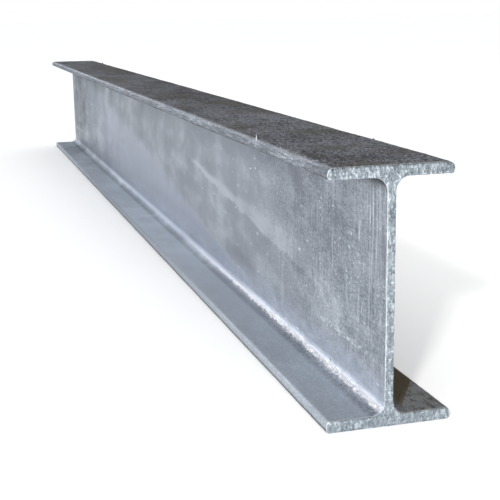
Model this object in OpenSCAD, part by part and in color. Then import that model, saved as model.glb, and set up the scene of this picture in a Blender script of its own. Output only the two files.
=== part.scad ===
// Rolled steel I-beam, hot-dip galvanised and sawn square at both ends.
// It lies on its bottom flange with its length along X and its depth along Z.
// The origin is the centre of the bottom face. Sizes are in millimetres.

/* [Length] */
// Length of the beam, from one sawn end to the other
beam_l = 1400; // [300:10:6000]

/* [Section] */
// Depth of the section, over both flanges
depth = 150; // [100:1:300]
// Width of each flange
flange_w = 75; // [60:1:150]
// Thickness of each flange
flange_t = 7; // [5:0.5:12]
// Thickness of the web
web_t = 5; // [4:0.5:10]

/* [Rounding] */
// Radius of the fillet where the web meets a flange
root_r = 8; // [4:0.5:15]
// Corner radius of the top flange's toes, on the top face
top_outer_r = 4.2; // [1:0.1:5]
// Corner radius of the top flange's toes, on the underside
top_inner_r = 2.6; // [1:0.1:5]
// Corner radius of the bottom flange's toes, on the bottom face
bottom_outer_r = 1.3; // [1:0.1:5]
// Corner radius of the bottom flange's toes, on the upper side
bottom_inner_r = 2.1; // [1:0.1:5]

/* [Hidden] */

// Dull zinc grey
zinc = [0.61, 0.64, 0.67];
// Least flat that stays between the two rounded corners of a toe
toe_flat = 0.2;
// How far the web and each corner block run past the faces they meet
bite = 1;
// Segments of a full circle
$fn = 96;

// Clear depth between the two flanges
inner_d = depth - 2 * flange_t;

// Share of its two corner radii that a toe has room for
function toe_share(outer_r, inner_r) =
    min(1, (flange_t - toe_flat) / (outer_r + inner_r));

// What lies between a square corner at the origin and a round of radius r in it
module spandrel(r) {
    difference() {
        translate([-bite, -bite])
            square([r + bite, r + bite]);
        translate([r, r])
            circle(r);
    }
}

// One flange in section, with its outer face on y = 0
module flange_section(outer_r, inner_r) {
    share = toe_share(outer_r, inner_r);
    difference() {
        translate([-flange_w / 2, 0])
            square([flange_w, flange_t]);
        for (right = [0, 1])
            mirror([right, 0])
                translate([-flange_w / 2, 0]) {
                    spandrel(outer_r * share);
                    translate([0, flange_t])
                        mirror([0, 1])
                            spandrel(inner_r * share);
                }
    }
}

// The web in section, on the middle line
module web_section() {
    translate([-web_t / 2, flange_t - bite])
        square([web_t, inner_d + 2 * bite]);
}

// One flange and its two root fillets, with the flange's outer face on y = 0
module flange_and_roots(outer_r, inner_r) {
    flange_section(outer_r, inner_r);
    for (left = [0, 1])
        mirror([left, 0])
            translate([web_t / 2, flange_t])
                spandrel(root_r);
}

// The whole section: width along x, depth along y
module beam_section() {
    flange_and_roots(bottom_outer_r, bottom_inner_r);
    translate([0, depth])
        mirror([0, 1])
            flange_and_roots(top_outer_r, top_inner_r);
    web_section();
}

// The beam: its section run along X
module i_beam() {
    color(zinc)
        rotate([90, 0, 90])
            linear_extrude(height = beam_l, center = true)
                beam_section();
}

i_beam();
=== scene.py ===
import math
import random

import bmesh
import bpy
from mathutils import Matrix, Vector, kdtree


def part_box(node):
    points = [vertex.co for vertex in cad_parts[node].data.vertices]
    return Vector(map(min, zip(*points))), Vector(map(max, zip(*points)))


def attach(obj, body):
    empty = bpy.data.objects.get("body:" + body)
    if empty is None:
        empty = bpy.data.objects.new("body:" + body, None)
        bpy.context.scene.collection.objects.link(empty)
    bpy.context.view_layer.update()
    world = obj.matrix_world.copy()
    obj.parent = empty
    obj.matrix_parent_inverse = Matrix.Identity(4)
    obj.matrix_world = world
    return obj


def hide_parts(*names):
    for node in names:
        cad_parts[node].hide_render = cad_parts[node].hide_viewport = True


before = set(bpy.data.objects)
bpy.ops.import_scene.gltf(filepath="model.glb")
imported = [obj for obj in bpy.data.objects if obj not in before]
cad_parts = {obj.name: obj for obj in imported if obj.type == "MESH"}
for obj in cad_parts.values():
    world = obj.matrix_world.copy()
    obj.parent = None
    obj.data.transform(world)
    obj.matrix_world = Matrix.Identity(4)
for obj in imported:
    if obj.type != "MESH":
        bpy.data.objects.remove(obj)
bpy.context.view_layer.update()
beamLow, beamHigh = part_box("i_beam")
print("frame loaded", [round(v, 4) for v in beamHigh - beamLow])

halfLength = (beamHigh.x - beamLow.x) / 2
halfWidth = (beamHigh.y - beamLow.y) / 2
depth = beamHigh.z - beamLow.z

random.seed(7)


camera = {
    "fromNearEnd": (0.5195, -0.2302, 0.2309),   # from the near end's foot, metres
    "aim": (-0.2000, -0.0231, 0.0620),          # also from the near end's foot
    "lens": 75.98,
    "roll": -0.858,                             # degrees, about the view's own axis
}


def setCamera(size):
    nearEnd = Vector((halfLength, 0, 0))
    place = nearEnd + Vector(size["fromNearEnd"])
    look = nearEnd + Vector(size["aim"]) - place
    bpy.ops.object.camera_add(location=place)
    shot = bpy.context.object
    shot.name = "viewCamera"
    turn = look.to_track_quat("-Z", "Y").to_euler()
    shot.rotation_euler = turn
    shot.rotation_euler.rotate_axis("Z", math.radians(size["roll"]))
    shot.data.lens = size["lens"]
    bpy.context.scene.camera = shot


studio = {
    "floorSize": 60.0,
    "floorColour": (0.97, 0.972, 0.975, 1),
    "floorCloud": 1.5,                        # how many soft clouds the floor has to a metre
    "floorDip": 0.97,                         # the clouds' tone against the floor's
    "floorRough": 0.9,
    "seenColour": (1.0, 1.0, 1.0, 1),         # what the camera sees past the floor
    "openSide": (1.00, 1.04, 1.10, 1),        # the bright side, left of the beam
    "closedSide": (0.152, 0.141, 0.124, 1),   # the unlit side, right of it
    "openFrom": (0.0, -1.0, 0.10),            # where the bright side lies
    "openEdge": (0.03, 0.38),                 # where the change between them starts and ends
    "roomLight": 1.06,                        # even light on matt surfaces
}

# name, place, what it points at, width, height, watts, colour
softboxes = [
    ("lowBackBox", (-4.9, -2.70, 0.90), (0.5, 0.0, 0.05), 1.8, 0.60, 8, (0.97, 0.98, 1.0)),
    ("highBackBox", (-3.7, -1.34, 1.36), (0.5, 0.0, 0.05), 1.2, 0.50, 9, (1.0, 0.98, 1.0)),
    ("keyBox", (2.1, -0.95, 0.95), (0.50, 0.0, 0.05), 0.15, 0.15, 24, (1.0, 0.99, 0.96)),
]


def addNode(tree, kind, sockets=None, **settings):
    node = tree.nodes.new(kind)
    node.location = (190 * (len(tree.nodes) % 12), -260 * (len(tree.nodes) // 12))
    for key, value in settings.items():
        setattr(node, key, value)
    for key, value in (sockets or {}).items():
        node.inputs[key].default_value = value
    return node


def lightRoom(size):
    world = bpy.data.worlds.new("studioRoom")
    bpy.context.scene.world = world
    world.use_nodes = True
    tree = world.node_tree
    tree.nodes.clear()
    way = addNode(tree, "ShaderNodeTexCoord")
    side = addNode(tree, "ShaderNodeVectorMath", operation="DOT_PRODUCT")
    side.inputs[1].default_value = Vector(size["openFrom"]).normalized()
    share = addNode(tree, "ShaderNodeMapRange",
                    {"From Min": size["openEdge"][0], "From Max": size["openEdge"][1]},
                    interpolation_type="SMOOTHSTEP")
    roomColour = addNode(tree, "ShaderNodeMix", data_type="RGBA")
    roomColour.inputs["A"].default_value = size["closedSide"]
    roomColour.inputs["B"].default_value = size["openSide"]
    mirrored = addNode(tree, "ShaderNodeBackground")
    even = addNode(tree, "ShaderNodeBackground", {"Color": (1, 1, 1, 1), "Strength": size["roomLight"]})
    seen = addNode(tree, "ShaderNodeBackground", {"Color": size["seenColour"]})
    ray = addNode(tree, "ShaderNodeLightPath")
    mattMix = addNode(tree, "ShaderNodeMixShader")
    seenMix = addNode(tree, "ShaderNodeMixShader")
    out = addNode(tree, "ShaderNodeOutputWorld")
    link = tree.links.new
    link(way.outputs["Generated"], side.inputs[0])
    link(side.outputs["Value"], share.inputs["Value"])
    link(share.outputs["Result"], roomColour.inputs["Factor"])
    link(roomColour.outputs["Result"], mirrored.inputs["Color"])
    link(ray.outputs["Is Diffuse Ray"], mattMix.inputs["Fac"])
    link(mirrored.outputs["Background"], mattMix.inputs[1])
    link(even.outputs["Background"], mattMix.inputs[2])
    link(ray.outputs["Is Camera Ray"], seenMix.inputs["Fac"])
    link(mattMix.outputs["Shader"], seenMix.inputs[1])
    link(seen.outputs["Background"], seenMix.inputs[2])
    link(seenMix.outputs["Shader"], out.inputs["Surface"])


def hangSoftboxes(boxes):
    for name, place, target, width, height, watts, colour in boxes:
        bpy.ops.object.light_add(type="AREA", location=place)
        box = bpy.context.object
        box.name = name
        box.rotation_euler = (Vector(target) - Vector(place)).to_track_quat("-Z", "Y").to_euler()
        box.data.shape = "RECTANGLE"
        box.data.size = width
        box.data.size_y = height
        box.data.energy = watts
        box.data.color = colour


def layFloor(size):
    bpy.ops.object.select_all(action="DESELECT")
    bpy.ops.mesh.primitive_plane_add(size=size["floorSize"], location=(0, 0, 0))
    floor = bpy.context.object
    floor.name = "studioFloor"
    paint = bpy.data.materials.new("paleFloor")
    paint.use_nodes = True
    tree = paint.node_tree
    shader = tree.nodes["Principled BSDF"]
    shader.inputs["Roughness"].default_value = size["floorRough"]
    shader.inputs["Specular IOR Level"].default_value = 0.0
    coords = addNode(tree, "ShaderNodeTexCoord")
    cloud = addNode(tree, "ShaderNodeTexNoise", {"Scale": size["floorCloud"], "Detail": 3})
    tone = addNode(tree, "ShaderNodeMix", data_type="RGBA")
    tone.inputs["A"].default_value = size["floorColour"]
    tone.inputs["B"].default_value = [size["floorDip"] * part for part in size["floorColour"][:3]] + [1]
    tree.links.new(coords.outputs["Object"], cloud.inputs["Vector"])
    tree.links.new(cloud.outputs["Fac"], tone.inputs["Factor"])
    tree.links.new(tone.outputs["Result"], shader.inputs["Base Color"])
    floor.data.materials.append(paint)


bpy.context.scene.view_settings.view_transform = "Standard"
setCamera(camera)
lightRoom(studio)
hangSoftboxes(softboxes)
layFloor(studio)
print("camera, floor and light set")


section = {
    "web": 0.005,
    "flange": 0.007,
    "rootRadius": 0.008,
    "topOuterRadius": 0.0042,
    "topInnerRadius": 0.0026,
    "bottomOuterRadius": 0.0013,
    "bottomInnerRadius": 0.0021,
    "rootSteps": 8,
    "rimRadius": 0.0007,           # the sawn ends' outer edge
    "webCell": 0.005,              # mesh cells across the web
    "flangeCell": 0.0045,          # and across the flanges
    "endZone": 0.20,               # finer rings this far from each end
    "endRing": 0.0016,
    "midRing": 0.0050,
    "fineZone": 0.19,              # cells are halved beside the lower roots this far from each end
    "fineOut": 0.0060,             # and this far out past the root
    "toeSteps": (5, 4, 3, 2),      # segments of the four toe corners, from the top down
    "smoothAngle": 50,             # degrees
}


def editStart():
    bpy.ops.object.mode_set(mode="EDIT")
    bpy.ops.mesh.select_mode(type="FACE")


def editEnd():
    bpy.ops.object.mode_set(mode="OBJECT")


def pickFaces(test):
    bpy.ops.mesh.select_mode(type="FACE")
    bpy.ops.mesh.select_all(action="DESELECT")
    mesh = bpy.context.edit_object.data
    work = bmesh.from_edit_mesh(mesh)
    for face in work.faces:
        if test(face.calc_center_median(), face.normal):
            face.select_set(True)
    bmesh.update_edit_mesh(mesh)


def pickEdges(test):
    bpy.ops.mesh.select_mode(type="EDGE")
    bpy.ops.mesh.select_all(action="DESELECT")
    mesh = bpy.context.edit_object.data
    work = bmesh.from_edit_mesh(mesh)
    for edge in work.edges:
        if test(edge.verts[0].co, edge.verts[1].co):
            edge.select_set(True)
    bmesh.update_edit_mesh(mesh)


def near(value, level, slack=1e-5):
    return abs(value - level) < slack


def roundLongEdges(y, z, radius, steps):
    # rounds the edges along the beam at +-y and height z
    def runsThere(a, b):
        atHeight = near(a.z, z) and near(b.z, z)
        atSide = near(abs(a.y), y) and near(abs(b.y), y) and a.y * b.y > 0
        return atHeight and atSide and not near(a.x, b.x)
    pickEdges(runsThere)
    bpy.ops.mesh.bevel(offset_type="OFFSET", offset=radius, segments=steps, profile=0.5,
                       affect="EDGES", clamp_overlap=False)


def cutAt(levels, along, test=None):
    # cuts square to one axis at each level, through all the mesh or only the faces that pass the test
    axis = Vector([1.0 if name == along else 0.0 for name in "xyz"])
    for level in levels:
        if test:
            pickFaces(test)
        else:
            bpy.ops.mesh.select_all(action="SELECT")
        bpy.ops.mesh.bisect(plane_co=axis * level, plane_no=axis)


def evenLevels(start, end, cell):
    count = max(1, round(abs(end - start) / cell))
    return [start + (end - start) * i / count for i in range(count + 1)]


def isEndFace(centre, normal):
    return abs(normal.x) > 0.9


def splitLong(zoneLow, zoneHigh, ring):
    # puts rings across the long faces whose middle lies in this stretch
    def isLong(a, b):
        middle = (a.x + b.x) / 2
        return abs(a.x - b.x) > 0.05 and zoneLow < middle < zoneHigh
    pickEdges(isLong)
    bpy.ops.mesh.subdivide(number_cuts=round((zoneHigh - zoneLow) / ring))


def rollSection(size):
    web, flange = size["web"] / 2, size["flange"]
    bpy.ops.object.select_all(action="DESELECT")
    bpy.ops.mesh.primitive_cube_add(size=1, location=(0, 0, 0))
    skin = bpy.context.object
    skin.name = "zinc_skin"
    skin.data.name = "zinc_skin"
    editStart()
    bpy.ops.mesh.select_all(action="SELECT")
    bpy.ops.transform.resize(value=(2 * halfLength, size["web"], depth))
    bpy.ops.transform.translate(value=(0, 0, depth / 2))
    cutAt([flange, depth - flange], "z")
    for side in (-1, 1):
        pickFaces(lambda c, n: n.y * side > 0.9 and (c.z < flange or c.z > depth - flange))
        bpy.ops.mesh.extrude_region_move(
            TRANSFORM_OT_translate={"value": (0, side * (halfWidth - web), 0)})
    bpy.ops.mesh.select_all(action="SELECT")
    bpy.ops.mesh.remove_doubles(threshold=1e-5)
    bpy.ops.mesh.dissolve_limited(angle_limit=math.radians(1))
    roundLongEdges(web, flange, size["rootRadius"], size["rootSteps"])
    roundLongEdges(web, depth - flange, size["rootRadius"], size["rootSteps"])
    toeEdges = ((depth, "topOuterRadius"), (depth - flange, "topInnerRadius"),
                (flange, "bottomInnerRadius"), (0, "bottomOuterRadius"))
    for (z, radius), steps in zip(toeEdges, size["toeSteps"]):
        roundLongEdges(halfWidth, z, size[radius], steps)
    editEnd()
    print("section rolled:", len(skin.data.polygons), "faces")
    return skin


def gridSkin(skin, size):
    web, flange, root = size["web"] / 2, size["flange"], size["rootRadius"]
    toe = max(size["topOuterRadius"], size["bottomInnerRadius"])
    editStart()
    pickEdges(lambda a, b: near(a.x, b.x) and near(abs(a.x), halfLength))
    bpy.ops.mesh.bevel(offset_type="OFFSET", offset=size["rimRadius"], segments=2, profile=0.5,
                       affect="EDGES", clamp_overlap=False)
    cutAt(evenLevels(flange + root, depth - flange - root, size["webCell"]), "z")
    for side in (-1, 1):
        cutAt(evenLevels(side * (web + root), side * (halfWidth - toe), size["flangeCell"]), "y")
    cutAt(evenLevels(-web - root, web + root, size["flangeCell"])[1:-1], "y",
          lambda c, n: abs(n.z) > 0.9 and (c.z < 0.001 or c.z > depth - 0.001))
    cutAt([-web, 0, web], "y", isEndFace)
    cutAt([flange / 2, flange, flange + root / 2], "z", isEndFace)
    cutAt([depth - flange / 2, depth - flange, depth - flange - root / 2], "z", isEndFace)
    edge = halfLength - size["endZone"]
    cutAt([-edge, edge], "x")
    splitLong(-edge, edge, size["midRing"])
    splitLong(edge, halfLength, size["endRing"])
    splitLong(-halfLength, -edge, size["endRing"])
    pickFaces(isEndFace)
    bpy.ops.mesh.subdivide(number_cuts=2)
    bpy.ops.mesh.select_all(action="SELECT")
    bpy.ops.mesh.quads_convert_to_tris(quad_method="BEAUTY", ngon_method="BEAUTY")
    editEnd()
    print("skin meshed:", len(skin.data.polygons), "triangles")


coat = {
    # name, size of its waves, height, weights
    "swell": (0.070, 0.00050, "all"),
    "ripple": (0.014, 0.00020, "all"),
    "toeLumps": (0.0040, 0.00060, "toes"),
    "toeRoughness": (0.0018, 0.00040, "toes"),
    "rootRuns": (0.0050, 0.00060, "roots"),
    "rimNicks": (0.0028, 0.00060, "rims"),
    "sawnFace": (0.0035, 0.00030, "sawn"),
}

coatZones = {
    # full within the first distance and none past the second
    "toeSide": (0.0008, 0.0045),   # in from the flange's side
    "toeNear": (0.05, 0.36),       # in from a sawn end
    "toeRest": 0.30,               # the share of the toes' lumps that is left far from the ends
    "lowToeShare": 0.35,           # and on the lower toes
    "toeLift": (0.0015, 0.0003),   # above the floor
    "rootFoot": (0.0010, 0.0055),  # either side of the root's foot
    "rootMiddle": 0.9,             # the foot's place, in root radii out from the web
    "rootRise": (0.003, 0.006),    # above the flange
    "rootLift": (0.004, 0.002),
    "rimIn": (0.0009, 0.0022),     # in from a sawn end
    "rimLift": (0.001, 0.0003),
    "sawnIn": (0.00005, 0.0003),
    "floorSkin": 0.0003,           # nothing moves below this height, so the beam stands flat
}

beads = {
    "count": 46,                   # small zinc beads beside each lower root, near each end
    "reach": 0.26,                 # how far from the end they go
    "crowding": 1.4,               # how much they gather towards the end
    "clear": 0.004,                # bare stretch at the end itself
    "across": (0.55, 1.15),        # out from the web, in root radii
    "radius": (0.0009, 0.0023),
    "height": 0.0008,
    "strayShare": 0.25,            # beads that lie further out, and are smaller
    "strayOut": (0.002, 0.012),
    "strayScale": 0.6,
}

spikes = {
    # frozen drips on the top flange's edge: place along the beam, side, height
    "places": [(0.560, -1, 0.0036), (0.666, -1, 0.0009), (0.610, -1, 0.0012), (0.566, -1, 0.0010),
               (-0.580, 1, 0.0026), (-0.655, 1, 0.0010), (-0.622, -1, 0.0008), (0.590, 1, 0.0008)],
    "fromEdge": 0.0024,
    "foot": 0.0004,                # a drip starts this far below the top face
}


def weigh(skin, name, share):
    group = skin.vertex_groups.new(name=name)
    for vertex in skin.data.vertices:
        weight = min(1.0, share(vertex.co))
        if weight > 0.01:
            group.add([vertex.index], weight, "REPLACE")


def fade(value, full, none):
    # 1 at full, 0 at none, straight between them
    return max(0.0, min(1.0, (none - value) / (none - full)))


def fromEnd(co):
    return halfLength - abs(co.x)


def weighSkin(skin, size, zone):
    web, flange, root = size["web"] / 2, size["flange"], size["rootRadius"]

    def offFloor(co):
        return 0.0 if co.z < zone["floorSkin"] else 1.0

    def onToe(co):
        onSide = fade(halfWidth - abs(co.y), *zone["toeSide"])
        closeBy = zone["toeRest"] + (1 - zone["toeRest"]) * fade(fromEnd(co), *zone["toeNear"])
        lessBelow = 1.0 if co.z > depth / 2 else zone["lowToeShare"]
        return onSide * closeBy * lessBelow * fade(co.z, *zone["toeLift"])

    def onRoot(co):
        foot = fade(abs(abs(co.y) - web - root * zone["rootMiddle"]), *zone["rootFoot"])
        return foot * fade(co.z - flange, *zone["rootRise"]) * fade(co.z, *zone["rootLift"])

    def onRim(co):
        return fade(fromEnd(co), *zone["rimIn"]) * fade(co.z, *zone["rimLift"])

    weigh(skin, "all", offFloor)
    weigh(skin, "toes", onToe)
    weigh(skin, "roots", onRoot)
    weigh(skin, "rims", onRim)
    weigh(skin, "sawn", lambda co: fade(fromEnd(co), *zone["sawnIn"]))


def pushOut(skin, name, weights, height, direction="NORMAL"):
    # raises the weighed points of the skin by up to the given height
    group = skin.vertex_groups.new(name=name)
    for index, weight in weights.items():
        group.add([index], weight, "REPLACE")
    push = skin.modifiers.new(name, "DISPLACE")
    push.direction = direction
    push.strength = height
    push.mid_level = 0.0
    push.vertex_group = name
    bpy.ops.object.modifier_apply(modifier=name)


def findTree(skin):
    tree = kdtree.KDTree(len(skin.data.vertices))
    for vertex in skin.data.vertices:
        tree.insert(vertex.co, vertex.index)
    tree.balance()
    return tree


def addBeads(skin, size, section):
    # domes of zinc left along the foot of the lower roots
    tree = findTree(skin)
    weights = {}
    for endSide in (-1, 1):
        for side in (-1, 1):
            for number in range(size["count"]):
                away = size["reach"] * random.random() ** size["crowding"] + size["clear"]
                out = section["web"] / 2 + section["rootRadius"] * random.uniform(*size["across"])
                radius = random.uniform(*size["radius"])
                if random.random() < size["strayShare"]:
                    out += random.uniform(*size["strayOut"])
                    radius *= size["strayScale"]
                place = Vector((endSide * (halfLength - away), side * out, section["flange"]))
                for co, index, distance in tree.find_range(place, 2 * radius):
                    flat = math.hypot(co.x - place.x, co.y - place.y)
                    dome = math.sqrt(max(0.0, 1.0 - (flat / radius) ** 2))
                    if co.z > section["flange"] - 0.0005:
                        weights[index] = max(weights.get(index, 0.0), dome * radius / size["radius"][1])
    pushOut(skin, "beads", weights, size["height"])


def addSpikes(skin, size):
    tree = findTree(skin)
    tallest = max(height for x, side, height in size["places"])
    weights = {}
    for x, side, height in size["places"]:
        place = Vector((x, side * (halfWidth - size["fromEdge"]), depth - size["foot"]))
        co, index, distance = tree.find(place)
        weights[index] = height / tallest
    pushOut(skin, "spikes", weights, tallest, "Z")


def layCoat(skin, layers):
    for name, (wave, height, group) in layers.items():
        pattern = bpy.data.textures.new(name, "CLOUDS")
        pattern.noise_scale = wave
        pattern.noise_depth = 2
        push = skin.modifiers.new(name, "DISPLACE")
        push.texture = pattern
        push.texture_coords = "LOCAL"
        push.strength = height
        push.mid_level = 0.5
        push.vertex_group = group
        bpy.ops.object.modifier_apply(modifier=name)


def refineRoots(size):
    # smaller cells where beads and runs of zinc lie
    web, root, flange = size["web"] / 2, size["rootRadius"], size["flange"]

    def bySkirt(centre, normal):
        across = web + 0.3 * root < abs(centre.y) < web + root + size["fineOut"]
        lowDown = flange - 0.0005 < centre.z < flange + 0.6 * root
        return across and lowDown and fromEnd(centre) < size["fineZone"] and abs(normal.x) < 0.5
    editStart()
    pickFaces(bySkirt)
    bpy.ops.mesh.subdivide(number_cuts=1)
    editEnd()


beam = rollSection(section)
gridSkin(beam, section)
refineRoots(section)
bpy.ops.object.select_all(action="DESELECT")
beam.select_set(True)
bpy.context.view_layer.objects.active = beam
weighSkin(beam, section, coatZones)
addBeads(beam, beads, section)
layCoat(beam, coat)
addSpikes(beam, spikes)
bpy.ops.object.shade_smooth_by_angle(angle=math.radians(section["smoothAngle"]))
print("coat laid:", len(beam.data.polygons), "triangles")


def feed(tree, value, socket):
    # a socket takes a link from another socket, or a plain number or colour
    if isinstance(value, bpy.types.NodeSocket):
        tree.links.new(value, socket)
    else:
        socket.default_value = value


def calc(tree, operation, *values, clamp=False):
    node = addNode(tree, "ShaderNodeMath", operation=operation, use_clamp=clamp)
    for value, socket in zip(values, node.inputs):
        feed(tree, value, socket)
    return node.outputs[0]


def times(tree, *values):
    product = values[0]
    for value in values[1:]:
        product = calc(tree, "MULTIPLY", product, value)
    return product


def ramp(tree, value, low, high, toLow=0.0, toHigh=1.0):
    # smooth step from toLow to toHigh as the value goes from low to high
    node = addNode(tree, "ShaderNodeMapRange", interpolation_type="SMOOTHSTEP")
    for value, name in ((value, "Value"), (low, "From Min"), (high, "From Max"),
                        (toLow, "To Min"), (toHigh, "To Max")):
        feed(tree, value, node.inputs[name])
    return node.outputs["Result"]


def tint(tree, share, first, second):
    # the first colour, turned to the second by the share
    node = addNode(tree, "ShaderNodeMix", data_type="RGBA")
    feed(tree, share, node.inputs["Factor"])
    feed(tree, first, node.inputs["A"])
    feed(tree, second, node.inputs["B"])
    return node.outputs["Result"]


def stretch(tree, vector, scale):
    node = addNode(tree, "ShaderNodeVectorMath", operation="MULTIPLY")
    feed(tree, vector, node.inputs[0])
    feed(tree, scale, node.inputs[1])
    return node.outputs["Vector"]


def newGroup(name, takes, gives):
    group = bpy.data.node_groups.new(name, "ShaderNodeTree")
    for title, kind, value in takes:
        socket = group.interface.new_socket(title, in_out="INPUT", socket_type="NodeSocket" + kind)
        if value is not None:
            socket.default_value = value
    for title in gives:
        kind = "NodeSocketVector" if title == "Vector" else "NodeSocketFloat"
        group.interface.new_socket(title, in_out="OUTPUT", socket_type=kind)
    return group, addNode(group, "NodeGroupInput"), addNode(group, "NodeGroupOutput")


def unrollGroup():
    # lays the section's faces out flat: along the beam, and up the web or out along a flange
    group, takes, gives = newGroup("zincUnroll", [("Vector", "Vector", None)], ["Vector"])
    axis = addNode(group, "ShaderNodeSeparateXYZ")
    feed(group, takes.outputs["Vector"], axis.inputs["Vector"])
    side = calc(group, "SIGN", axis.outputs["Y"])
    flat = addNode(group, "ShaderNodeCombineXYZ")
    feed(group, calc(group, "MULTIPLY_ADD", side, 10.0, axis.outputs["X"]), flat.inputs["X"])
    feed(group, calc(group, "SUBTRACT", axis.outputs["Z"], calc(group, "ABSOLUTE", axis.outputs["Y"])),
         flat.inputs["Y"])
    feed(group, flat.outputs["Vector"], gives.inputs["Vector"])
    return group


def cloudGroup():
    # soft patches of a given size, 0.5 on average
    group, takes, gives = newGroup("zincCloud", [
        ("Vector", "Vector", None), ("Size", "Float", 0.05), ("Contrast", "Float", 1.0),
        ("Roughness", "Float", 0.5)], ["Value"])
    scale = calc(group, "DIVIDE", 1.0, takes.outputs["Size"])
    noise = addNode(group, "ShaderNodeTexNoise", {"Detail": 4, "Distortion": 0.35})
    feed(group, takes.outputs["Vector"], noise.inputs["Vector"])
    feed(group, scale, noise.inputs["Scale"])
    feed(group, takes.outputs["Roughness"], noise.inputs["Roughness"])
    off = calc(group, "SUBTRACT", noise.outputs["Fac"], 0.5)
    value = calc(group, "MULTIPLY_ADD", off, takes.outputs["Contrast"], 0.5, clamp=True)
    feed(group, value, gives.inputs["Value"])
    return group


def spangleGroup():
    # zinc crystals, each with its own tone, and the seam round each one
    group, takes, gives = newGroup("zincSpangle", [
        ("Vector", "Vector", None), ("Size", "Float", 0.003), ("Warp", "Float", 0.4)],
        ["Value", "Seam"])
    scale = calc(group, "DIVIDE", 1.0, takes.outputs["Size"])
    spaced = stretch(group, takes.outputs["Vector"], scale)
    wobble = addNode(group, "ShaderNodeTexNoise", {"Scale": 1.3, "Detail": 2})
    feed(group, spaced, wobble.inputs["Vector"])
    moved = addNode(group, "ShaderNodeVectorMath", operation="MULTIPLY_ADD")
    feed(group, wobble.outputs["Color"], moved.inputs[0])
    feed(group, takes.outputs["Warp"], moved.inputs[1])
    feed(group, spaced, moved.inputs[2])
    cells = addNode(group, "ShaderNodeTexVoronoi", {"Scale": 1.0})
    feed(group, moved.outputs["Vector"], cells.inputs["Vector"])
    parts = addNode(group, "ShaderNodeSeparateColor")
    feed(group, cells.outputs["Color"], parts.inputs["Color"])
    feed(group, parts.outputs["Red"], gives.inputs["Value"])
    feed(group, ramp(group, cells.outputs["Distance"], 0.35, 0.75), gives.inputs["Seam"])
    return group


def drainGroup():
    # streaks where the zinc drained, stretched along the depth of the beam
    group, takes, gives = newGroup("zincDrain", [
        ("Vector", "Vector", None), ("Width", "Float", 0.006), ("Length", "Float", 0.08),
        ("Contrast", "Float", 1.0)], ["Value"])
    across = calc(group, "DIVIDE", 1.0, takes.outputs["Width"])
    down = calc(group, "DIVIDE", 1.0, takes.outputs["Length"])
    scale = addNode(group, "ShaderNodeCombineXYZ")
    for name, value in (("X", across), ("Y", across), ("Z", down)):
        feed(group, value, scale.inputs[name])
    noise = addNode(group, "ShaderNodeTexNoise", {"Scale": 1.0, "Detail": 3, "Roughness": 0.6,
                                                  "Distortion": 0.25})
    feed(group, stretch(group, takes.outputs["Vector"], scale.outputs["Vector"]),
         noise.inputs["Vector"])
    off = calc(group, "SUBTRACT", noise.outputs["Fac"], 0.5)
    value = calc(group, "MULTIPLY_ADD", off, takes.outputs["Contrast"], 0.5, clamp=True)
    feed(group, value, gives.inputs["Value"])
    return group


def speckGroup():
    # scattered dots: Share is how many cells hold one, Radius is in shares of a cell
    group, takes, gives = newGroup("zincSpecks", [
        ("Vector", "Vector", None), ("Spacing", "Float", 0.008), ("Radius", "Float", 0.12),
        ("Share", "Float", 0.2)], ["Mask"])
    scale = calc(group, "DIVIDE", 1.0, takes.outputs["Spacing"])
    cells = addNode(group, "ShaderNodeTexVoronoi", voronoi_dimensions="2D")
    cells.inputs["Scale"].default_value = 1.0
    spaced = stretch(group, takes.outputs["Vector"], scale)
    wobble = addNode(group, "ShaderNodeTexNoise", {"Scale": 4.0, "Detail": 2})
    feed(group, spaced, wobble.inputs["Vector"])
    moved = addNode(group, "ShaderNodeVectorMath", operation="MULTIPLY_ADD")
    feed(group, wobble.outputs["Color"], moved.inputs[0])
    moved.inputs[1].default_value = (0.35, 0.35, 0.35)
    feed(group, spaced, moved.inputs[2])
    feed(group, moved.outputs["Vector"], cells.inputs["Vector"])
    parts = addNode(group, "ShaderNodeSeparateColor")
    feed(group, cells.outputs["Color"], parts.inputs["Color"])
    chosen = calc(group, "LESS_THAN", parts.outputs["Green"], takes.outputs["Share"])
    reach = calc(group, "MULTIPLY", takes.outputs["Radius"],
                 calc(group, "MULTIPLY_ADD", parts.outputs["Blue"], 0.8, 0.6))
    dot = ramp(group, cells.outputs["Distance"], reach, calc(group, "MULTIPLY", reach, 0.2))
    dot = calc(group, "MULTIPLY", dot, calc(group, "MULTIPLY_ADD", parts.outputs["Red"], 0.75, 0.25))
    feed(group, calc(group, "MULTIPLY", dot, chosen), gives.inputs["Mask"])
    return group


def scratchGroup():
    # hair lines: the places where stretched noise crosses its middle
    group, takes, gives = newGroup("zincScratches", [
        ("Vector", "Vector", None), ("Stretch", "Vector", (1.0, 1.0, 1.0)),
        ("Line", "Float", 0.02), ("Share", "Float", 0.4)], ["Mask"])
    run = stretch(group, takes.outputs["Vector"], takes.outputs["Stretch"])
    noise = addNode(group, "ShaderNodeTexNoise", {"Scale": 1.0, "Detail": 1, "Roughness": 0.4})
    feed(group, run, noise.inputs["Vector"])
    off = calc(group, "ABSOLUTE", calc(group, "SUBTRACT", noise.outputs["Fac"], 0.5))
    line = ramp(group, off, takes.outputs["Line"], 0.0)
    patch = addNode(group, "ShaderNodeTexNoise", {"Scale": 2.3, "Detail": 1})
    feed(group, run, patch.inputs["Vector"])
    kept = calc(group, "SUBTRACT", 1.0, takes.outputs["Share"])
    shown = ramp(group, patch.outputs["Fac"], calc(group, "MULTIPLY_ADD", kept, 0.4, 0.3),
                 calc(group, "MULTIPLY_ADD", kept, 0.4, 0.38))
    feed(group, calc(group, "MULTIPLY", line, shown), gives.inputs["Mask"])
    return group


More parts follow.
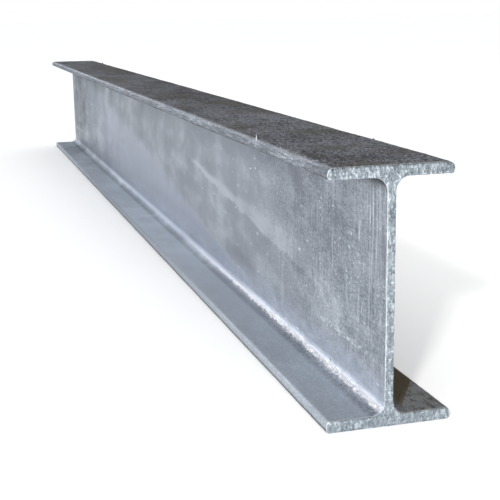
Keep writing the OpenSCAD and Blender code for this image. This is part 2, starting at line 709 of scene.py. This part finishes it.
unroll, cloud, spangle, drain, specks, scratches = (
    unrollGroup(), cloudGroup(), spangleGroup(), drainGroup(), speckGroup(), scratchGroup())


def useGroup(tree, group, output, **values):
    node = addNode(tree, "ShaderNodeGroup", node_tree=group)
    for name, value in values.items():
        feed(tree, value, node.inputs[name])
    return node.outputs[output]


def startFinish(name, look):
    material = bpy.data.materials.new(name)
    material.use_nodes = True
    tree = material.node_tree
    shader = tree.nodes["Principled BSDF"]
    shader.inputs["Metallic"].default_value = look["metal"]
    shader.inputs["Specular Tint"].default_value = look["edgeTint"]
    coords = addNode(tree, "ShaderNodeTexCoord").outputs["Object"]
    parts = addNode(tree, "ShaderNodeSeparateXYZ")
    feed(tree, coords, parts.inputs["Vector"])
    return material, tree, shader, coords, parts.outputs


def measureSkin(tree, axis):
    # what the zones are measured by, all in metres
    out = calc(tree, "ABSOLUTE", axis["Y"])
    return {
        "x": axis["X"], "y": axis["Y"], "z": axis["Z"],
        "down": calc(tree, "SUBTRACT", depth, axis["Z"]),        # from the top face
        "out": out,                                              # from the web's middle plane
        "toe": calc(tree, "SUBTRACT", halfWidth, out),           # in from the flange's side
        "in": calc(tree, "SUBTRACT", halfLength, calc(tree, "ABSOLUTE", axis["X"])),   # from a sawn end
    }


def addClouds(tree, coords, table, places):
    # one cloud for each row: size, contrast, roughness and how much longer it is along the beam
    for name, (size, contrast, roughness, longer) in table.items():
        spread = stretch(tree, coords, (1.0 / longer, 1.0, 1.0))
        places[name] = useGroup(tree, cloud, "Value", Vector=spread, Size=size,
                                Contrast=contrast, Roughness=roughness)


def addSpecks(tree, flat, table, marks):
    # one set of dots for each row: spacing, radius, share of the cells, and their squeeze along the beam
    for name, (spacing, radius, share, squeeze) in table.items():
        marks[name] = useGroup(tree, specks, "Mask", Vector=stretch(tree, flat, (squeeze, 1.0, 1.0)),
                               Spacing=spacing, Radius=radius, Share=share)


def addScratches(tree, coords, table, marks):
    # one set of hair lines for each row: how often they repeat on each axis, line width, share kept
    for name, (run, line, share) in table.items():
        marks[name] = useGroup(tree, scratches, "Mask", Vector=coords, Stretch=run, Line=line, Share=share)


def addZones(tree, places, table, marks):
    # a zone is the product of its steps and of the earlier marks that it names
    for name, steps in table.items():
        marks[name] = times(tree, *[
            marks[step] if isinstance(step, str) else ramp(tree, places[step[0]], *step[1:])
            for step in steps])


def mixTone(tree, places, marks, table):
    # adds up layers that swing about 0.5, each by its share, and by a mark where one is named
    tone = 0.5
    for name, (share, mark) in table.items():
        amount = times(tree, marks[mark], share) if mark else share
        tone = calc(tree, "MULTIPLY_ADD", calc(tree, "SUBTRACT", places[name], 0.5), amount, tone)
    return tone


def addShares(tree, value, marks, table):
    for name, share in table.items():
        value = calc(tree, "MULTIPLY_ADD", marks[name], share, value)
    return value


def paintOver(tree, colour, marks, look):
    # one tint over the other, in the order of the rows
    for name, share, shade in look["paints"]:
        colour = tint(tree, times(tree, marks[name], share), colour, look[shade])
    return colour


def stackBumps(tree, shader, table):
    # each row is a 0..1 height and its height in metres
    before = None
    for height, metres in table:
        bump = addNode(tree, "ShaderNodeBump", {"Distance": metres, "Strength": 1.0})
        feed(tree, height, bump.inputs["Height"])
        if before is not None:
            feed(tree, before, bump.inputs["Normal"])
        before = bump.outputs["Normal"]
    feed(tree, before, shader.inputs["Normal"])


sidesFinish = {
    "dark": (0.210, 0.236, 0.266, 1),
    "middle": (0.366, 0.404, 0.448, 1),
    "light": (0.60, 0.65, 0.71, 1),
    "bright": (0.86, 0.90, 0.95, 1),
    # froth and painted highlight: near-white laid on the lower roots' bubbly zinc where the highlight falls
    "frothAndHighlight": (0.95, 0.925, 0.935, 1),
    "rootSheen": (0.77, 0.82, 0.92, 1),
    "lilac": (0.320, 0.320, 0.370, 1),
    "blueLight": (0.50, 0.555, 0.67, 1),
    "flangeTint": (0.56, 0.60, 0.66, 1),
    "shade": (0.060, 0.062, 0.066, 1),
    "toeDark": (0.150, 0.160, 0.175, 1),
    "warmShade": (0.075, 0.070, 0.055, 1),
    # painted shadow and reflection: brown laid on the right lower flange, strongest in the wedge where the
    # web's shadow falls
    "shadowBrown": (0.235, 0.190, 0.115, 1),
    "edgeTint": (0.45, 0.45, 0.45, 1),   # dulls the skin where it is seen at a slant
    "metal": 0.86,
    "rough": 0.53,                       # before the shares below
    "darkTone": (0.22, 0.52),            # the tone's steps from dark to middle
    "lightTone": (0.50, 0.86),           # and from middle to light
    "clouds": {
        "broad": (0.085, 1.5, 0.5, 2.2),
        "patches": (0.030, 2.2, 0.5, 2.4),
        "mottle": (0.011, 1.8, 0.6, 2.4),
        "fine": (0.0042, 1.8, 0.6, 2.2),
        "grain": (0.0014, 2.4, 0.7, 1.8),
        "froth": (0.0022, 3.2, 0.7, 2.0),
        "drawn": (0.0011, 2.6, 0.6, 16.0),
        "hue": (0.060, 2.6, 0.5, 2.0),
    },
    "drains": {                          # width, length down the web, contrast
        "streaks": (0.040, 0.12, 1.8),
        "threads": (0.0026, 0.045, 2.2),
    },
    "specks": {
        "scuffDots": (0.0028, 0.62, 1.0, 0.55),
        "pimpleDots": (0.010, 0.13, 0.26, 0.5),
        "dustDots": (0.0034, 0.22, 0.42, 0.5),
    },
    "scratches": {
        "hairLines": ((170.0, 170.0, 9.0), 0.026, 0.50),
        "combLines": ((420.0, 420.0, 10.0), 0.050, 0.85),
    },
    "tideSlope": 0.10,                   # the tide lines fall this much for each metre towards the near end
    "lowTide": 0.062,                    # height of the low tide line where x is 0
    "highTide": 0.1165,
    "lowTideEdge": (0.40, -0.10, 0.006, 0.030),    # the low line blurs from 6 to 30 mm between these x
    "bandWidth": (0.34, 0.55, 0.0080, 0.034),      # the light band widens from 8 to 34 mm
    "sheenFoot": (0.35, 0.56, 0.0120, 0.0040),     # the sheen's lower edge drops from 12 to 4 mm
    "shadowStart": 0.690,                 # the painted shadow's edge, a brown tint, on the right lower flange, at its root
    "shadowSlope": 0.61,                  # how fast it slants out to the toe
    "shadowRoot": 0.0122,                 # and how far out it starts
    "ragged": {                          # a place moved by a layer, by this much
        "tideLine": ("tide", "mottle", 0.005),
        "dripLine": ("x", "mottle", 0.004),
        "scuffLine": ("z", "mottle", 0.0022),
        "rootEdge": ("out", "froth", 0.0030),
        "raggedShadowEdge": ("shadowEdge", "fine", 0.0012),
    },
    "lines": {                           # the distance from one place
        "fromDrip": ("dripLine", 0.515),
        "fromScuff": ("scuffLine", 0.0365),
        "fromPimples": ("z", 0.077),
        "fromFootShade": ("out", 0.0100),
        "fromToeLine": ("down", 0.0062),
    },
    # none at the first number and full at the second, or the two values that follow
    "zones": {
        "web": [("out", 0.0060, 0.0035)],
        "nearEnd": [("in", 0.33, 0.10)],
        "closeBy": [("in", 0.30, 0.05)],
        "sharper": [("in", 0.33, 0.10, 0.12, 1.0), ("x", -0.65, -0.30, 0.45, 1.0)],
        "relief": [("in", 0.33, 0.10, 0.35, 1.0)],
        "mottled": [("in", 0.33, 0.10, 0.12, 0.22)],
        "middleWeb": [("x", -0.55, -0.10), ("x", 0.58, 0.42)],
        "waist": [("x", 0.50, 0.58), ("z", 0.035, 0.055), ("z", 0.120, 0.095)],
        "farEnd": [("x", -0.35, -0.65)],
        # painted shade: the web darkens towards the top flange near the ends
        "shadeUnderFlange": ["nearEnd", "web", ("z", 0.040, 0.105)],
        "lowWeb": ["nearEnd", "web", ("z", 0.060, 0.025)],
        "lowZone": ["web", ("x", 0.56, 0.46), ("x", -0.60, -0.05)],
        "band": ["web", ("x", 0.18, 0.28), ("x", 0.64, 0.52)],
        "drip": ["web", ("fromDrip", 0.0035, 0.0008), ("z", 0.062, 0.050)],
        "hairs": ["web", "hairLines", ("in", 0.20, 0.04)],
        "combed": ["web", "combLines", ("in", 0.042, 0.022)],
        "scuff": ["web", "scuffDots", ("fromScuff", 0.0022, 0.0012), ("in", 0.125, 0.105),
                  ("in", 0.012, 0.060, 0.35, 1.0)],
        "pimples": ["pimpleDots", ("in", 0.60, 0.20), ("out", 0.0060, 0.0035, 0.15, 1.0)],
        "cluster": ["web", ("fromPimples", 0.010, 0.002, 0.0, 0.7), ("in", 0.14, 0.10)],
        "dusty": [("patches", 0.50, 0.80)],
        "dustyEnd": [("in", 0.33, 0.10, 0.0, 0.30)],
        "dust": ["dustDots", ("in", 0.33, 0.10, 0.1, 1.0)],
        "low": [("z", 0.014, 0.0115)],
        # partly the roots' bubbly zinc, partly a painted highlight along the middle of each lower root
        "skirt": ["low", ("out", 0.0036, 0.0042), ("rootEdge", 0.0078, 0.0064), ("x", 0.15, 0.52)],
        "crumbs": ["skirt", "sharper", ("froth", 0.30, 0.80)],
        # painted shade: a soft dark line along the foot of each lower root
        "footShade": ["low", ("fromFootShade", 0.0034, 0.0008)],
        "sheen": [("x", -0.35, 0.10), ("out", 0.0054, 0.0036), ("z", 0.034, 0.014),
                  ("fine", 0.20, 0.80, 0.55, 0.95)],
        "rootFoot": ["low", ("out", 0.0060, 0.0080)],
        "softRoot": ["low", ("out", 0.0028, 0.0040), ("x", 0.56, 0.20)],
        "underRoot": [("down", 0.017, 0.009), ("out", 0.020, 0.008)],
        "lowFlange": [("out", 0.009, 0.014), ("z", 0.012, 0.009)],
        "paleFlange": ["lowFlange", ("x", -0.55, 0.10, 0.25, 0.58)],
        "rightFlange": ["lowFlange", ("y", 0.004, 0.008)],
        # painted shade: darker warm patches on the right lower flange near the ends
        "rightFlangeShade": ["rightFlange", "closeBy", ("fine", 0.56, 0.30)],
        "flecks": ["rightFlange", "closeBy", ("grain", 0.45, 0.80)],
        # painted shadow: the wedge where the web's shadow falls on the right lower flange, with the brown
        # tint laid over it
        "wedge": [("raggedShadowEdge", 0.0004, 0.0011)],
        "brown": ["rightFlange", ("x", 0.42, 0.60)],
        "lowToe": [("toe", 0.0022, 0.0012), ("z", 0.02, 0.01)],
        "lowToeLight": ["lowToe", ("grain", 0.30, 0.70), ("in", 0.50, 0.05)],
        "lowToeDark": ["lowToe", ("in", 0.10, 0.70, 0.15, 0.55)],
        "lowToeShade": ["lowToe", ("z", 0.0030, 0.0010)],
        "onTopToe": [("toe", 0.0050, 0.0020), ("down", 0.010, 0.008)],
        "topToe": ["onTopToe", ("drawn", 0.70, 0.30, 0.20, 0.80)],
        "toeLine": ["onTopToe", ("fromToeLine", 0.0010, 0.0002), ("patches", 0.30, 0.60, 0.10, 1.0),
                    ("in", 0.06, 0.26)],
    },
    "brownShare": (0.0, 1.0, 0.22, 0.87),   # the brown's share outside the wedge, a painted reflection tint, and inside it, a painted shadow
    # each layer's share of the tone, and the mark that weakens it
    "toneShares": {
        "broad": (0.30, None),
        "patches": (0.36, None),
        "streaks": (0.20, None),
        "mottle": (1.0, "mottled"),
        "threads": (0.26, "sharper"),
        "fine": (0.30, "sharper"),
        "grain": (0.56, "sharper"),
    },
    "toneLifts": {
        "middleWeb": 0.09, "waist": -0.08, "farEnd": -0.09, "band": 0.24,
        "shadeUnderFlange": -0.07, "lowWeb": 0.12, "lowZone": 0.27, "drip": 0.14,
    },
    "paints": [
        ("lilacHue", 0.35, "lilac"),
        ("lowZone", 0.62, "blueLight"),
        ("sheen", 1.0, "rootSheen"),
        ("hairs", 0.52, "bright"),
        ("scuff", 1.0, "bright"),
        ("pimples", 1.0, "bright"),
        ("dust", 0.80, "bright"),
        # froth and painted highlight on the lower roots
        ("skirt", 0.74, "frothAndHighlight"),
        ("crumbs", 1.0, "frothAndHighlight"),
        ("paleFlange", 1.0, "flangeTint"),
        ("footShade", 0.26, "dark"),
        ("lowToeLight", 1.0, "light"),
        ("lowToeDark", 1.0, "dark"),
        ("lowToeShade", 0.80, "shade"),
        ("rightFlangeShade", 0.65, "warmShade"),
        ("flecks", 0.60, "light"),
        ("brown", 1.0, "shadowBrown"),
        ("topToe", 1.0, "toeDark"),
        ("toeLine", 0.70, "shade"),
        ("underRoot", 0.75, "shade"),
    ],
    "roughShares": {
        "tone": -0.20, "pimples": -0.12, "rootFoot": 0.16, "softRoot": 0.22, "topToe": 0.14,
    },
    "bumps": {
        "patches": 0.00025, "mottle": 0.00012, "fineRelief": 0.00010, "grainRelief": 0.00007,
        "pimples": 0.00040, "dust": 0.00025, "crumbs": 0.00035, "hairs": 0.00004,
    },
}


def measureStains(tree, coords, places, look):
    # lines that slant, lines made ragged by a layer, and the distance from some of them
    for name, (width, length, contrast) in look["drains"].items():
        places[name] = useGroup(tree, drain, "Value", Vector=coords, Width=width, Length=length,
                                Contrast=contrast)
    places["tide"] = calc(tree, "MULTIPLY_ADD", places["x"], look["tideSlope"], places["z"])
    inward = calc(tree, "SUBTRACT", look["shadowStart"], places["x"])
    edge = calc(tree, "MULTIPLY_ADD", inward, look["shadowSlope"], look["shadowRoot"])
    places["shadowEdge"] = calc(tree, "SUBTRACT", edge, places["y"])
    for name, (place, layer, reach) in look["ragged"].items():
        places[name] = calc(tree, "MULTIPLY_ADD", places[layer], reach, places[place])
    for name, (place, middle) in look["lines"].items():
        places[name] = calc(tree, "ABSOLUTE", calc(tree, "SUBTRACT", places[place], middle))


def shapeMarks(tree, places, marks, look):
    # the marks whose edge moves or blurs along the beam
    overLow = calc(tree, "SUBTRACT", places["tideLine"], look["lowTide"])
    blur = ramp(tree, places["x"], *look["lowTideEdge"])
    marks["lowZone"] = times(tree, marks["lowZone"], ramp(tree, overLow, blur, -0.001))
    overHigh = calc(tree, "SUBTRACT", places["tideLine"], look["highTide"])
    height = calc(tree, "DIVIDE", overHigh, ramp(tree, places["x"], *look["bandWidth"]))
    marks["band"] = times(tree, marks["band"], ramp(tree, overHigh, -0.002, 0.001),
                          ramp(tree, height, 1.0, 0.3))
    overRoot = calc(tree, "SUBTRACT", places["z"], ramp(tree, places["x"], *look["sheenFoot"]))
    marks["sheen"] = times(tree, marks["sheen"], ramp(tree, overRoot, 0.0, 0.0045))
    marks["hairs"] = calc(tree, "MAXIMUM", marks["hairs"], marks["combed"])
    dusty = calc(tree, "ADD", marks["dusty"], calc(tree, "ADD", marks["cluster"], marks["dustyEnd"]),
                 clamp=True)
    marks["dust"] = times(tree, marks["dust"], dusty)
    # painted shadow: the brown grows inside the wedge
    marks["brown"] = times(tree, marks["brown"], ramp(tree, marks["wedge"], *look["brownShare"]))


def paintSides(look):
    zinc, tree, shader, coords, axis = startFinish("zincSides", look)
    places, marks = measureSkin(tree, axis), {}
    flat = useGroup(tree, unroll, "Vector", Vector=coords)
    addClouds(tree, coords, look["clouds"], places)
    measureStains(tree, coords, places, look)
    addSpecks(tree, flat, look["specks"], marks)
    addScratches(tree, coords, look["scratches"], marks)
    addZones(tree, places, look["zones"], marks)
    shapeMarks(tree, places, marks, look)
    tone = addShares(tree, mixTone(tree, places, marks, look["toneShares"]), marks, look["toneLifts"])
    marks["tone"] = tone
    marks["lilacHue"] = places["hue"]
    colour = tint(tree, ramp(tree, tone, *look["darkTone"]), look["dark"], look["middle"])
    colour = tint(tree, ramp(tree, tone, *look["lightTone"]), colour, look["light"])
    feed(tree, paintOver(tree, colour, marks, look), shader.inputs["Base Color"])
    feed(tree, addShares(tree, look["rough"], marks, look["roughShares"]), shader.inputs["Roughness"])
    heights = {**places, **marks}
    for name in ("fine", "grain"):
        heights[name + "Relief"] = times(tree, places[name], marks["relief"])
    stackBumps(tree, shader, [(heights[name], metres) for name, metres in look["bumps"].items()])
    return zinc


topFinish = {
    "dark": (0.075, 0.081, 0.098, 1),
    "middle": (0.37, 0.39, 0.45, 1),
    "light": (0.84, 0.87, 0.92, 1),
    "brown": (0.190, 0.176, 0.160, 1),
    "toe": (0.50, 0.53, 0.58, 1),
    "edgeTint": (1, 1, 1, 1),
    "metal": 0.82,
    "rough": 0.38,
    "darkTone": (0.30, 0.70),
    "clouds": {
        "broad": (0.080, 1.8, 0.5, 1.6),
        "patches": (0.020, 1.5, 0.5, 1.6),
        "fine": (0.0028, 2.4, 0.65, 2.2),
        "grain": (0.0011, 4.2, 0.7, 2.4),
        "stains": (0.050, 2.6, 0.6, 1.6),
    },
    "specks": {
        "crumbs": (0.0032, 0.24, 0.34, 0.6),
        "bits": (0.013, 0.10, 0.25, 0.6),
    },
    "scratches": {
        "smears": ((22.0, 110.0, 60.0), 0.03, 0.25),
    },
    "zones": {
        "sharper": [("in", 0.60, 0.12, 0.40, 1.0)],
        "brownShare": [("stains", 0.5, 0.85)],
        "edge": [("toe", 0.0046, 0.0030), ("grain", 0.3, 0.7, 0.45, 1.0)],
        "dripTips": [("down", -0.0008, -0.0016)],
    },
    "toneShares": {
        "broad": (0.34, None),
        "patches": (0.26, None),
        "fine": (0.50, "sharper"),
        "grain": (0.66, "sharper"),
    },
    "paints": [
        ("brownShare", 0.60, "brown"),
        ("smears", 0.30, "light"),
        ("crumbs", 0.72, "light"),
        ("bits", 0.9, "light"),
        ("edge", 1.0, "toe"),
    ],
    "roughShares": {"tone": 0.16},
    "bumps": {"patches": 0.00030, "fine": 0.00012, "grain": 0.00008, "crumbs": 0.00020, "bits": 0.00035},
}


def paintTop(look):
    zinc, tree, shader, coords, axis = startFinish("zincTop", look)
    places, marks = measureSkin(tree, axis), {}
    flat = useGroup(tree, unroll, "Vector", Vector=coords)
    addClouds(tree, coords, look["clouds"], places)
    addSpecks(tree, flat, look["specks"], marks)
    addScratches(tree, coords, look["scratches"], marks)
    addZones(tree, places, look["zones"], marks)
    marks["edge"] = calc(tree, "MAXIMUM", marks["edge"], marks["dripTips"])
    marks["tone"] = mixTone(tree, places, marks, look["toneShares"])
    colour = tint(tree, ramp(tree, marks["tone"], *look["darkTone"]), look["dark"], look["middle"])
    feed(tree, paintOver(tree, colour, marks, look), shader.inputs["Base Color"])
    feed(tree, addShares(tree, look["rough"], marks, look["roughShares"]), shader.inputs["Roughness"])
    heights = {**places, **marks}
    stackBumps(tree, shader, [(heights[name], metres) for name, metres in look["bumps"].items()])
    return zinc


sawnFinish = {
    "dark": (0.180, 0.210, 0.240, 1),
    "middle": (0.32, 0.37, 0.415, 1),
    "light": (0.64, 0.71, 0.77, 1),
    # near-white, for the painted highlight along the rims and for the sparks
    "rim": (0.95, 0.98, 1.0, 1),
    "spot": (0.10, 0.085, 0.07, 1),
    "edgeTint": (1, 1, 1, 1),
    "metal": 0.90,
    "rough": 0.49,
    "darkTone": (0.18, 0.52),
    "lightTone": (0.48, 0.82),
    "crystal": (0.0017, 0.9, 0.6),       # size, warp and how much taller than wide
    "flake": (0.0008, 0.8, 0.45),
    "patch": (0.007, 1.9),               # size and contrast
    "specks": {
        "pitDots": (0.0034, 0.26, 0.30, 1.0),
        "sparks": (0.0020, 0.34, 0.40, 1.0),
    },
    "zones": {
        "pits": ["pitDots", ("z", 0.0040, 0.0008, 0.20, 1.0)],   # most of them low down
        # painted highlight: a near-white line along the sawn end's rims
        "rimHighlight": [("in", 0.0002, 0.0005)],
    },
    "toneShares": {
        "crystals": (0.26, None),
        "flakes": (0.32, None),
        "patches": (0.36, None),
    },
    "paints": [
        ("pits", 1.0, "spot"),
        ("sparks", 0.60, "rim"),
        ("rimHighlight", 0.9, "rim"),
    ],
    "roughShares": {"crystals": -0.14},
    "bumps": {"patches": 0.00030, "crystals": 0.00010, "seams": 0.00012, "flakes": 0.00006},
}


def paintSawnEnd(look):
    zinc, tree, shader, coords, axis = startFinish("zincSawnEnd", look)
    places, marks = measureSkin(tree, axis), {}
    size, warp, squeeze = look["crystal"]
    grown = stretch(tree, coords, (1.0, 1.0, squeeze))
    places["crystals"] = useGroup(tree, spangle, "Value", Vector=grown, Size=size, Warp=warp)
    places["seams"] = useGroup(tree, spangle, "Seam", Vector=grown, Size=size, Warp=warp)
    patch, contrast = look["patch"]
    places["patches"] = useGroup(tree, cloud, "Value", Vector=grown, Size=patch, Contrast=contrast)
    size, warp, squeeze = look["flake"]
    drawnOut = stretch(tree, coords, (1.0, 1.0, squeeze))
    places["flakes"] = useGroup(tree, spangle, "Value", Vector=drawnOut, Size=size, Warp=warp)
    faceOn = addNode(tree, "ShaderNodeCombineXYZ")
    feed(tree, axis["Y"], faceOn.inputs["X"])
    feed(tree, axis["Z"], faceOn.inputs["Y"])
    addSpecks(tree, faceOn.outputs["Vector"], look["specks"], marks)
    addZones(tree, places, look["zones"], marks)
    tone = mixTone(tree, places, marks, look["toneShares"])
    colour = tint(tree, ramp(tree, tone, *look["darkTone"]), look["dark"], look["middle"])
    colour = tint(tree, ramp(tree, tone, *look["lightTone"]), colour, look["light"])
    feed(tree, paintOver(tree, colour, marks, look), shader.inputs["Base Color"])
    feed(tree, addShares(tree, look["rough"], places, look["roughShares"]), shader.inputs["Roughness"])
    stackBumps(tree, shader, [(places[name], metres) for name, metres in look["bumps"].items()])
    return zinc


finishPlaces = {
    "sawnDepth": 0.0007,           # a face this close to an end is sawn
    "topDrop": 0.0012,             # and one this close to the top, tilted up by at least topTilt, is on top
    "topTilt": 0.4,
}


def paintSkin(skin, size):
    for material in (paintSides(sidesFinish), paintTop(topFinish), paintSawnEnd(sawnFinish)):
        skin.data.materials.append(material)
    for face in skin.data.polygons:
        if abs(face.center.x) > halfLength - size["sawnDepth"]:
            face.material_index = 2
        elif face.center.z > depth - size["topDrop"] and face.normal.z > size["topTilt"]:
            face.material_index = 1


paintSkin(beam, finishPlaces)
print("finishes laid on")


bakeMap = {
    "gap": 0.010,                  # clear space between the map's parts, in metres of skin
    "endScale": 2.5,               # the sawn ends get this much more room than the sides
}


def alongOutline(y, z, corners):
    # how far round the half section the nearest place to this one lies
    spot = Vector((y, z))
    closest, reached, before = 1.0, 0.0, 0.0
    for start, end in zip(corners, corners[1:]):
        side = end - start
        share = max(0.0, min(1.0, (spot - start).dot(side) / side.length_squared))
        away = (start + side * share - spot).length
        if away < closest:
            closest, reached = away, before + side.length * share
        before += side.length
    return reached


def mapSkin(skin, size, layout):
    # two half-length strips of the unrolled section, one above the other, and the sawn ends beside them
    web, flange = size["web"] / 2, size["flange"]
    gap, endScale = layout["gap"], layout["endScale"]
    corners = [Vector(corner) for corner in (
        (0, 0), (halfWidth, 0), (halfWidth, flange), (web, flange), (web, depth - flange),
        (halfWidth, depth - flange), (halfWidth, depth), (0, depth))]
    half = sum((end - start).length for start, end in zip(corners, corners[1:]))
    wide = halfLength + 2 * halfWidth * endScale + 3 * gap
    tall = 4 * half + 3 * gap
    points = [vertex.co for vertex in skin.data.vertices]
    reachedBy = [math.copysign(alongOutline(abs(co.y), co.z, corners), co.y) for co in points]
    places = skin.data.uv_layers.new(name="OFBake").data
    for face in skin.data.polygons:
        farHalf = face.center.x < 0
        first = reachedBy[face.vertices[0]]
        for loop, index in zip(face.loop_indices, face.vertices):
            co = points[index]
            if face.material_index == 2:
                across = -co.y if farHalf else co.y
                u = halfLength + 2 * gap + (across + halfWidth) * endScale
                v = gap + co.z * endScale + (depth * endScale + gap if farHalf else 0)
            else:
                reached = reachedBy[index]
                if abs(reached - first) > half:
                    reached -= math.copysign(2 * half, reached)
                u = gap + co.x + (halfLength if farHalf else 0)
                v = gap + half - reached + (2 * half + gap if farHalf else 0)
            places[loop].uv = (u / wide, v / tall)


mapSkin(beam, section, bakeMap)
print("bake map laid out")

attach(beam, "root")
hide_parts("i_beam")
